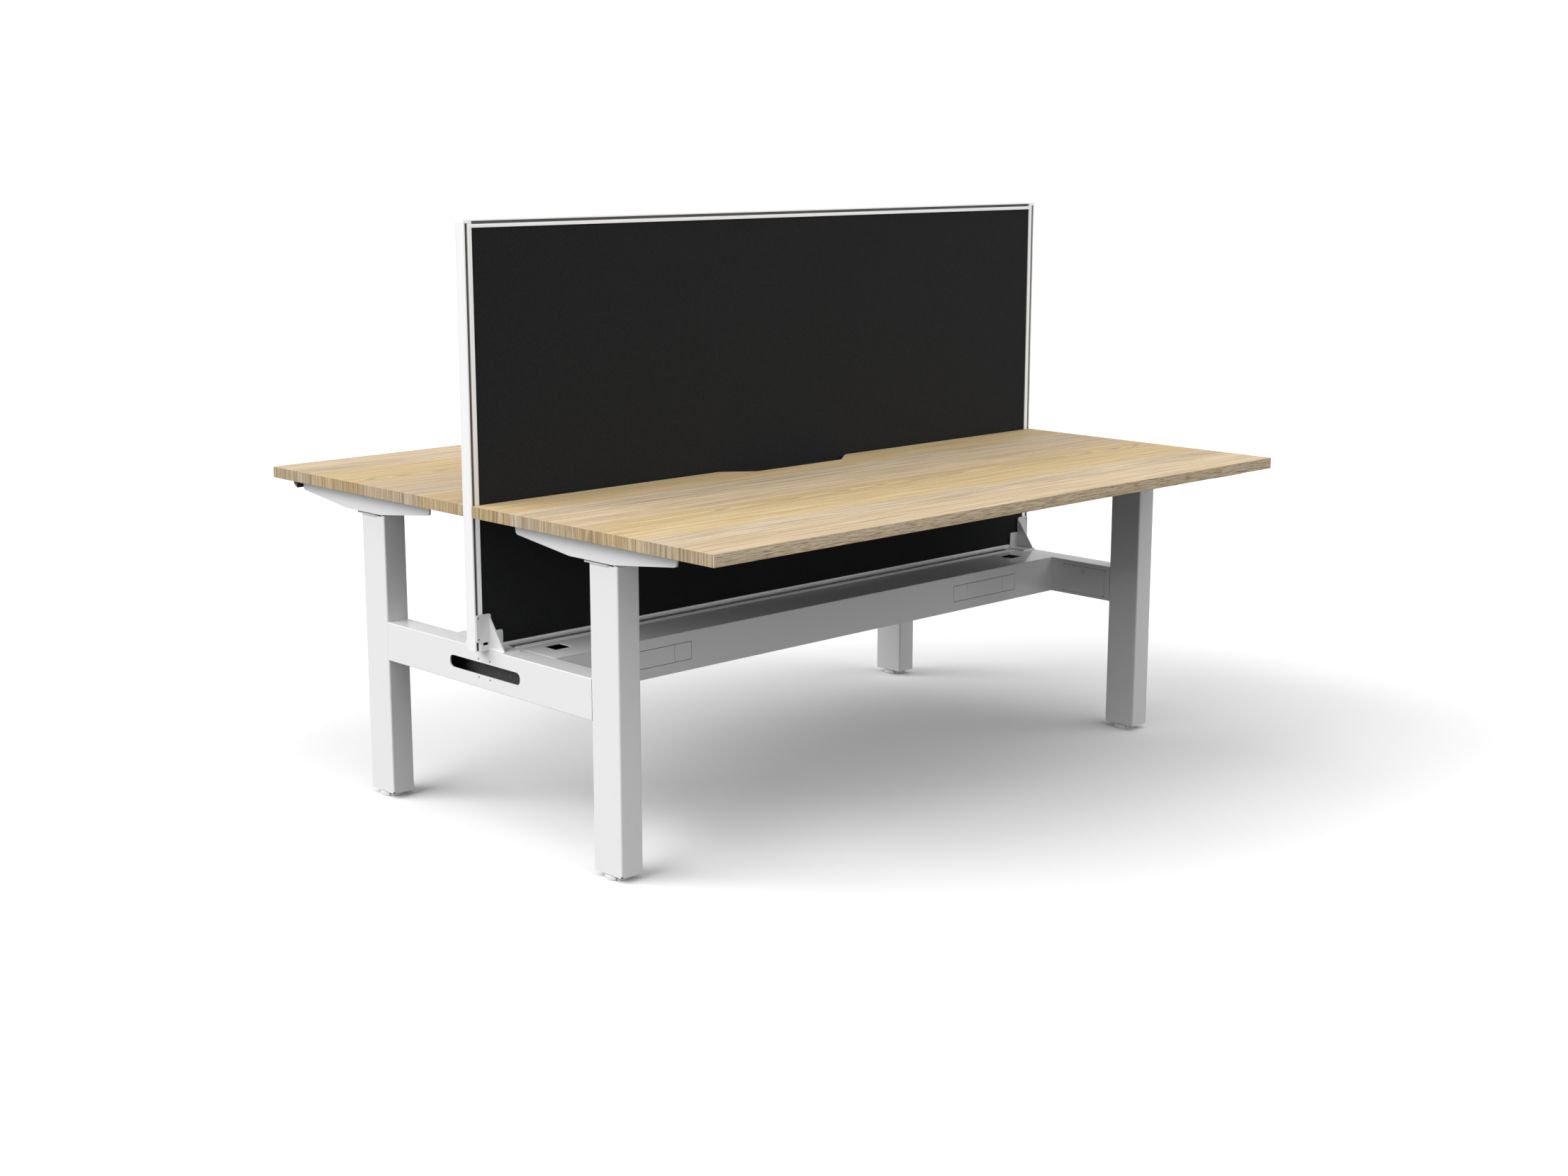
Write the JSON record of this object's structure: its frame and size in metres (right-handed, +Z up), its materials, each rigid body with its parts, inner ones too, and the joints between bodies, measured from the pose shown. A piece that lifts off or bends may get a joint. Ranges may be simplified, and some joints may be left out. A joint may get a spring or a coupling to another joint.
{
  "type": "sit-stand bench desk",
  "caption": "Back-to-back sit-stand bench for two: oak worktops on electric lifting columns, end frames with cross beams, a lidded cable duct and a fabric screen between the desks.",
  "frame": {"origin": "on the floor, under the middle of the screen", "axes": "+X along the bench, +Y from the front desk to the rear desk, +Z up"},
  "size_m": [1.8, 1.533, 1.313],
  "materials": {
    "white_powder_coat": "fine-textured white powder coat",
    "white_aluminium": "satin white coated extrusion",
    "white_plastic": "satin moulded",
    "oak": "matt straight-grained light oak",
    "black_fabric": "fine woven",
    "black_plastic": "satin moulded",
    "bright_steel": "rolled thread",
    "dark_steel": "dark coated steel"
  },
  "bodies": {
    "frame": {"leg_front_left": "white_powder_coat", "leg_front_right": "white_powder_coat", "leg_rear_left": "white_powder_coat", "leg_rear_right": "white_powder_coat", "nut_tube_front_left": "dark_steel", "nut_tube_front_right": "dark_steel", "nut_tube_rear_left": "dark_steel", "nut_tube_rear_right": "dark_steel", "beam_left": "white_powder_coat", "beam_right": "white_powder_coat", "beam_cover_front_left": "white_powder_coat", "beam_cover_front_right": "white_powder_coat", "beam_cover_rear_left": "white_powder_coat", "beam_cover_rear_right": "white_powder_coat", "duct_tray": "white_powder_coat", "duct_lid_front": "white_powder_coat", "duct_lid_rear": "white_powder_coat", "screen_panel": "black_fabric", "screen_rail_left": "white_aluminium", "screen_rail_right": "white_aluminium", "screen_rail_top": "white_aluminium", "screen_rail_bottom": "white_aluminium", "screen_cap_left": "white_plastic", "screen_cap_right": "white_plastic", "screen_bracket_front_left": "white_powder_coat", "screen_bracket_front_right": "white_powder_coat", "screen_bracket_rear_left": "white_powder_coat", "screen_bracket_rear_right": "white_powder_coat"},
    "front_desk": {"worktop_front": "oak", "top_channel_front_left": "white_powder_coat", "top_channel_front_right": "white_powder_coat", "inner_tube_front_left": "white_powder_coat", "inner_tube_front_right": "white_powder_coat", "lift_motor_front_left": "dark_steel", "lift_motor_front_right": "dark_steel", "control_box_front": "black_plastic", "handset_front": "black_plastic"},
    "rear_desk": {"worktop_rear": "oak", "top_channel_rear_left": "white_powder_coat", "top_channel_rear_right": "white_powder_coat", "inner_tube_rear_left": "white_powder_coat", "inner_tube_rear_right": "white_powder_coat", "lift_motor_rear_left": "dark_steel", "lift_motor_rear_right": "dark_steel", "control_box_rear": "black_plastic", "handset_rear": "black_plastic"},
    "spindle_front_left": {"spindle_front_left": "bright_steel"},
    "spindle_front_right": {"spindle_front_right": "bright_steel"},
    "spindle_rear_left": {"spindle_rear_left": "bright_steel"},
    "spindle_rear_right": {"spindle_rear_right": "bright_steel"},
    "foot_front_left": {"foot_front_left": "white_plastic"},
    "foot_front_right": {"foot_front_right": "white_plastic"},
    "foot_rear_left": {"foot_rear_left": "white_plastic"},
    "foot_rear_right": {"foot_rear_right": "white_plastic"},
    "up_button_front": {"up_button_front": "black_plastic"},
    "down_button_front": {"down_button_front": "black_plastic"},
    "up_button_rear": {"up_button_rear": "black_plastic"},
    "down_button_rear": {"down_button_rear": "black_plastic"}
  },
  "joints": [
    {"name": "front_desk_lift", "type": "slide", "parent": "frame", "child": "front_desk", "axis": [0, 0, 1], "range_m": [0, 0.48]},
    {"name": "rear_desk_lift", "type": "slide", "parent": "frame", "child": "rear_desk", "axis": [0, 0, 1], "range_m": [0, 0.48]},
    {"name": "spindle_front_left_turn", "type": "hinge", "parent": "front_desk", "child": "spindle_front_left", "pos_m": [-0.84, -0.405, 0.6], "axis": [0, 0, 1], "range_deg": [0, 17281]},
    {"name": "spindle_front_right_turn", "type": "hinge", "parent": "front_desk", "child": "spindle_front_right", "pos_m": [0.84, -0.405, 0.6], "axis": [0, 0, 1], "range_deg": [0, 17281]},
    {"name": "spindle_rear_left_turn", "type": "hinge", "parent": "rear_desk", "child": "spindle_rear_left", "pos_m": [-0.84, 0.405, 0.6], "axis": [0, 0, 1], "range_deg": [0, 17281]},
    {"name": "spindle_rear_right_turn", "type": "hinge", "parent": "rear_desk", "child": "spindle_rear_right", "pos_m": [0.84, 0.405, 0.6], "axis": [0, 0, 1], "range_deg": [0, 17281]},
    {"name": "foot_front_left_level", "type": "slide", "parent": "frame", "child": "foot_front_left", "axis": [0, 0, -1], "range_m": [0, 0.01]},
    {"name": "foot_front_right_level", "type": "slide", "parent": "frame", "child": "foot_front_right", "axis": [0, 0, -1], "range_m": [0, 0.01]},
    {"name": "foot_rear_left_level", "type": "slide", "parent": "frame", "child": "foot_rear_left", "axis": [0, 0, -1], "range_m": [0, 0.01]},
    {"name": "foot_rear_right_level", "type": "slide", "parent": "frame", "child": "foot_rear_right", "axis": [0, 0, -1], "range_m": [0, 0.01]},
    {"name": "up_button_front_press", "type": "slide", "parent": "front_desk", "child": "up_button_front", "axis": [0, 1, 0], "range_m": [0, 0.0015], "stiffness_N_per_m": 800, "springref_m": -0.001},
    {"name": "down_button_front_press", "type": "slide", "parent": "front_desk", "child": "down_button_front", "axis": [0, 1, 0], "range_m": [0, 0.0015], "stiffness_N_per_m": 800, "springref_m": -0.001},
    {"name": "up_button_rear_press", "type": "slide", "parent": "rear_desk", "child": "up_button_rear", "axis": [0, -1, 0], "range_m": [0, 0.0015], "stiffness_N_per_m": 800, "springref_m": -0.001},
    {"name": "down_button_rear_press", "type": "slide", "parent": "rear_desk", "child": "down_button_rear", "axis": [0, -1, 0], "range_m": [0, 0.0015], "stiffness_N_per_m": 800, "springref_m": -0.001}
  ],
  "couplings": [
    {"joint": "spindle_front_left_turn", "follows": "front_desk_lift", "rad_per_m": 628.32},
    {"joint": "spindle_front_right_turn", "follows": "front_desk_lift", "rad_per_m": 628.32},
    {"joint": "spindle_rear_left_turn", "follows": "rear_desk_lift", "rad_per_m": 628.32},
    {"joint": "spindle_rear_right_turn", "follows": "rear_desk_lift", "rad_per_m": 628.32}
  ]
}
